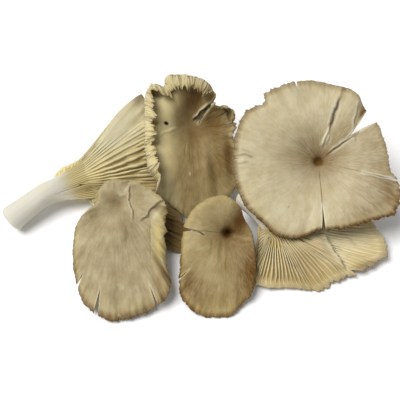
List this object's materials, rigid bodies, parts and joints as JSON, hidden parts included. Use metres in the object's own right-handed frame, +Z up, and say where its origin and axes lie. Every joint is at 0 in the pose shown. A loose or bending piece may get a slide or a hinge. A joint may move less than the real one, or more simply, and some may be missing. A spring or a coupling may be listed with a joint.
{
  "type": "oyster mushroom cluster",
  "caption": "Cluster of picked oyster mushrooms with wavy fan-shaped caps, gilled undersides and short stems, lying against each other on a flat surface.",
  "frame": {"origin": "middle of the base of the cluster's bounding box, on the surface it lies on", "axes": "+X along the cluster from the long stem to the large cap, +Y from the front caps to the back ones, +Z up"},
  "size_m": [0.2044, 0.1176, 0.0578],
  "materials": {
    "large_mushroom": "matt beige mushroom skin with fine radial fibres, browner at the margin and in the middle",
    "upturned_mushroom": "matt cream gills, browner margin, greyish stem",
    "ruffled_mushroom": "matt brown-beige mushroom skin, paler yellowish torn margin",
    "long_stem_mushroom": "matt cream gills and a white stem",
    "split_cap_mushroom": "matt grey-beige mushroom skin, yellowish margin",
    "small_mushroom": "matt brown-beige mushroom skin, dark brown middle"
  },
  "bodies": {
    "root": {"large_mushroom": "large_mushroom", "upturned_mushroom": "upturned_mushroom", "ruffled_mushroom": "ruffled_mushroom", "long_stem_mushroom": "long_stem_mushroom", "split_cap_mushroom": "split_cap_mushroom", "small_mushroom": "small_mushroom"}
  },
  "joints": []
}
